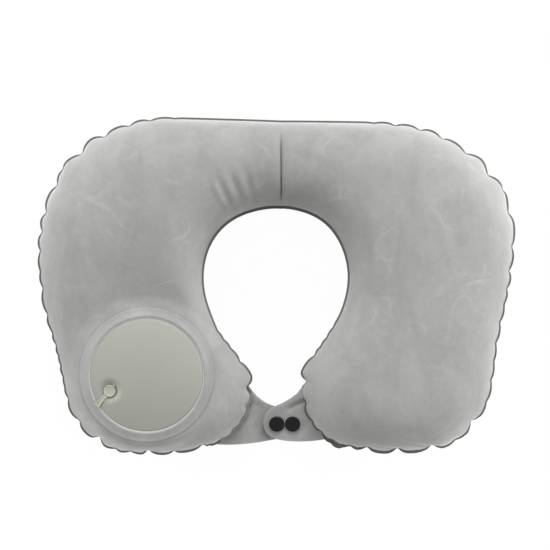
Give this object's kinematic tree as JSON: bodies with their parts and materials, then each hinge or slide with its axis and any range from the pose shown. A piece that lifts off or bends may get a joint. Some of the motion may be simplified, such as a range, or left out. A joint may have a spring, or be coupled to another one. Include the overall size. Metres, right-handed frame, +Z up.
{
  "type": "u shaped neck pillow",
  "caption": "Inflatable U-shaped neck pillow of welded grey flocked sheet, with a press pump and plug in one lobe and snap tabs that close the gap.",
  "frame": {"origin": "on the resting plane, under the middle of the outline", "axes": "+X across the arms to the picture's right, +Y from the lobes to the nape, +Z up through the front panel"},
  "size_m": [0.4043, 0.2868, 0.0901],
  "materials": {
    "flock": "matte",
    "tie_film": "matte",
    "collar_vinyl": "satin",
    "dome_vinyl": "matte",
    "foam": "matte",
    "valve_vinyl": "satin",
    "snap_resin": "satin"
  },
  "bodies": {
    "pillow": {"front_panel": "flock", "back_panel": "flock", "centre_tie": "tie_film", "pump_collar": "collar_vinyl", "pump_foam": "foam", "pump_base": "tie_film", "check_valve_seat": "valve_vinyl", "plug_anchor": "valve_vinyl", "right_tab_root": "flock", "left_tab_root": "flock"},
    "pump_dome": {"pump_dome": "dome_vinyl", "inlet_nozzle": "valve_vinyl"},
    "valve_plug": {"valve_plug": "valve_vinyl"},
    "check_flap": {"check_flap": "valve_vinyl"},
    "right_tab": {"right_tab": "flock", "snap_cap_left": "snap_resin", "snap_cap_right": "snap_resin", "snap_socket_left": "snap_resin", "snap_socket_right": "snap_resin"},
    "left_tab": {"left_tab": "flock", "snap_stud_left": "snap_resin", "snap_stud_right": "snap_resin", "snap_back_left": "snap_resin", "snap_back_right": "snap_resin"}
  },
  "joints": [
    {"name": "pump_press", "type": "slide", "parent": "pillow", "child": "pump_dome", "axis": [0, 0, -1], "range_m": [0, 0.01], "stiffness_N_per_m": 600, "deforming": ["pump_foam"]},
    {"name": "plug_swing", "type": "hinge", "parent": "pillow", "child": "valve_plug", "pos_m": [-0.14938, -0.09822, 0.0803], "axis": [0.7431, -0.6691, 0], "range_deg": [0, 135]},
    {"name": "check_flap_open", "type": "hinge", "parent": "pillow", "child": "check_flap", "pos_m": [-0.1005, -0.075, 0.0438], "axis": [0, -1, 0], "range_deg": [0, 30], "stiffness_Nm_per_rad": 0.002},
    {"name": "right_tab_lift", "type": "hinge", "parent": "pillow", "child": "right_tab", "pos_m": [0.0226, -0.1173, 0.0456], "axis": [-0.1564, 0.9877, 0], "range_deg": [0, 90], "stiffness_Nm_per_rad": 0.015},
    {"name": "left_tab_drop", "type": "hinge", "parent": "pillow", "child": "left_tab", "pos_m": [-0.0226, -0.1173, 0.0414], "axis": [0.1564, 0.9877, 0], "range_deg": [0, 60], "stiffness_Nm_per_rad": 0.015}
  ]
}
